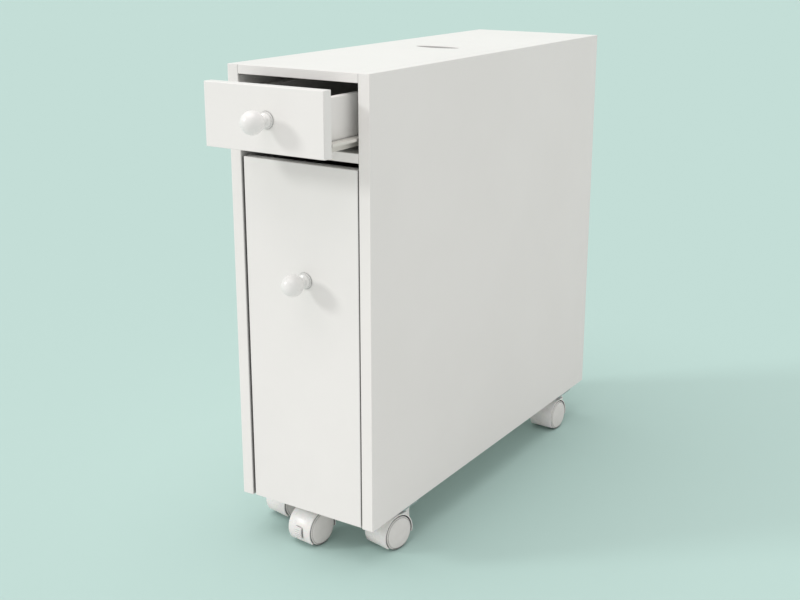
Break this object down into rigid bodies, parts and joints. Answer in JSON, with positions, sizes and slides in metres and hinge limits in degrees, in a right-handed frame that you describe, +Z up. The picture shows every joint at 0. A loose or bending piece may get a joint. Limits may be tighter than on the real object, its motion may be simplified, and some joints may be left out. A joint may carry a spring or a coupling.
{
  "type": "slim storage trolley",
  "caption": "Narrow white cabinet on swivel casters with a knobbed drawer above a tall pull-out, and a slot through its top.",
  "frame": {"origin": "on the floor, under the middle of the footprint with the drawer pulled out as pictured", "axes": "+Z up, +Y from the fronts towards the back, +X to the right as seen from the front"},
  "size_m": [0.1874, 0.6396, 0.55],
  "materials": {
    "white_board": "satin white foil on board",
    "front_board": "satin white paint on fibreboard",
    "hardboard": "white-faced hardboard",
    "knob_paint": "satin white paint on turned wood",
    "runner_steel": "cream-white powder coat",
    "nylon": "white nylon",
    "bright_steel": "zinc-plated",
    "plated_steel": "zinc-plated sheet",
    "caster_plastic": "semi-gloss white moulding",
    "wheel_plastic": "warm grey-white nylon"
  },
  "bodies": {
    "carcass": {"left_side_panel": "white_board", "right_side_panel": "white_board", "top_panel": "white_board", "divider_panel": "white_board", "bottom_panel": "white_board", "back_panel": "hardboard", "upper_left_channel": "runner_steel", "upper_right_channel": "runner_steel", "lower_left_channel": "runner_steel", "lower_right_channel": "runner_steel", "front_left_caster_plate": "plated_steel", "front_right_caster_plate": "plated_steel", "rear_left_caster_plate": "plated_steel", "rear_right_caster_plate": "plated_steel"},
    "drawer": {"drawer_front": "front_board", "drawer_left_side": "white_board", "drawer_right_side": "white_board", "drawer_back": "white_board", "drawer_bottom": "hardboard", "drawer_knob": "knob_paint", "drawer_knob_screw": "bright_steel", "drawer_left_runner": "runner_steel", "drawer_right_runner": "runner_steel"},
    "pullout": {"pullout_front": "front_board", "pullout_left_side": "white_board", "pullout_right_side": "white_board", "pullout_back": "white_board", "pullout_bottom": "white_board", "pullout_shelf": "white_board", "pullout_guard_rods": "bright_steel", "pullout_knob": "knob_paint", "pullout_knob_screw": "bright_steel", "pullout_caster_block": "white_board", "pullout_left_runner": "runner_steel", "pullout_right_runner": "runner_steel", "middle_caster_plate": "plated_steel"},
    "upper_front_rollers": {"upper_front_rollers": "nylon"},
    "lower_front_rollers": {"lower_front_rollers": "nylon"},
    "drawer_rollers": {"drawer_rollers": "nylon"},
    "pullout_rollers": {"pullout_rollers": "nylon"},
    "brake_lever": {"brake_lever": "caster_plastic"},
    "front_left_swivel": {"front_left_caster_hood": "caster_plastic"},
    "front_left_wheels": {"front_left_caster_axle": "bright_steel", "front_left_caster_wheels": "wheel_plastic"},
    "front_right_swivel": {"front_right_caster_hood": "caster_plastic"},
    "front_right_wheels": {"front_right_caster_axle": "bright_steel", "front_right_caster_wheels": "wheel_plastic"},
    "rear_left_swivel": {"rear_left_caster_hood": "caster_plastic"},
    "rear_left_wheels": {"rear_left_caster_axle": "bright_steel", "rear_left_caster_wheels": "wheel_plastic"},
    "rear_right_swivel": {"rear_right_caster_hood": "caster_plastic"},
    "rear_right_wheels": {"rear_right_caster_axle": "bright_steel", "rear_right_caster_wheels": "wheel_plastic"},
    "middle_swivel": {"middle_caster_hood": "caster_plastic"},
    "middle_wheels": {"middle_caster_axle": "bright_steel", "middle_caster_wheels": "wheel_plastic"}
  },
  "joints": [
    {"name": "drawer_slide", "type": "slide", "parent": "carcass", "child": "drawer", "axis": [0, -1, 0], "range_m": [-0.057, 0.313]},
    {"name": "pullout_slide", "type": "slide", "parent": "carcass", "child": "pullout", "axis": [0, -1, 0], "range_m": [0, 0.37]},
    {"name": "upper_front_rollers_spin", "type": "hinge", "parent": "carcass", "child": "upper_front_rollers", "pos_m": [0, -0.20365, 0.4772], "axis": [1, 0, 0], "continuous": true},
    {"name": "lower_front_rollers_spin", "type": "hinge", "parent": "carcass", "child": "lower_front_rollers", "pos_m": [0, -0.20365, 0.0682], "axis": [1, 0, 0], "continuous": true},
    {"name": "drawer_rollers_spin", "type": "hinge", "parent": "drawer", "child": "drawer_rollers", "pos_m": [0, 0.21635, 0.47525], "axis": [1, 0, 0], "continuous": true},
    {"name": "pullout_rollers_spin", "type": "hinge", "parent": "pullout", "child": "pullout_rollers", "pos_m": [0, 0.27335, 0.06625], "axis": [1, 0, 0], "continuous": true},
    {"name": "front_left_swivel_turn", "type": "hinge", "parent": "carcass", "child": "front_left_swivel", "pos_m": [-0.073, -0.14965, 0.04], "axis": [0, 0, 1], "continuous": true},
    {"name": "front_left_wheels_spin", "type": "hinge", "parent": "front_left_swivel", "child": "front_left_wheels", "pos_m": [-0.07578, -0.16541, 0.02], "axis": [0.9848, -0.1736, 0], "continuous": true},
    {"name": "front_right_swivel_turn", "type": "hinge", "parent": "carcass", "child": "front_right_swivel", "pos_m": [0.073, -0.14965, 0.04], "axis": [0, 0, 1], "continuous": true},
    {"name": "front_right_wheels_spin", "type": "hinge", "parent": "front_right_swivel", "child": "front_right_wheels", "pos_m": [0.06995, -0.16536, 0.02], "axis": [0.9816, -0.1908, 0], "continuous": true},
    {"name": "rear_left_swivel_turn", "type": "hinge", "parent": "carcass", "child": "rear_left_swivel", "pos_m": [-0.073, 0.26285, 0.04], "axis": [0, 0, 1], "continuous": true},
    {"name": "rear_left_wheels_spin", "type": "hinge", "parent": "rear_left_swivel", "child": "rear_left_wheels", "pos_m": [-0.07188, 0.24689, 0.02], "axis": [0.9976, 0.0698, 0], "continuous": true},
    {"name": "rear_right_swivel_turn", "type": "hinge", "parent": "carcass", "child": "rear_right_swivel", "pos_m": [0.073, 0.26285, 0.04], "axis": [0, 0, 1], "continuous": true},
    {"name": "rear_right_wheels_spin", "type": "hinge", "parent": "rear_right_swivel", "child": "rear_right_wheels", "pos_m": [0.0723, 0.24687, 0.02], "axis": [0.999, -0.0436, 0], "continuous": true},
    {"name": "middle_swivel_turn", "type": "hinge", "parent": "pullout", "child": "middle_swivel", "pos_m": [-0.009, -0.18915, 0.04], "axis": [0, 0, 1], "continuous": true},
    {"name": "middle_wheels_spin", "type": "hinge", "parent": "middle_swivel", "child": "middle_wheels", "pos_m": [-0.01067, -0.20506, 0.02], "axis": [0.9945, -0.1045, 0], "continuous": true},
    {"name": "brake_lever_press", "type": "hinge", "parent": "middle_swivel", "child": "brake_lever", "pos_m": [-0.01067, -0.20506, 0.02], "axis": [0.9945, -0.1045, 0], "range_deg": [0, 15]}
  ],
  "couplings": [
    {"joint": "upper_front_rollers_spin", "follows": "drawer_slide", "rad_per_m": 166.67},
    {"joint": "drawer_rollers_spin", "follows": "drawer_slide", "rad_per_m": 224.72},
    {"joint": "lower_front_rollers_spin", "follows": "pullout_slide", "rad_per_m": 166.67},
    {"joint": "pullout_rollers_spin", "follows": "pullout_slide", "rad_per_m": 224.72}
  ]
}
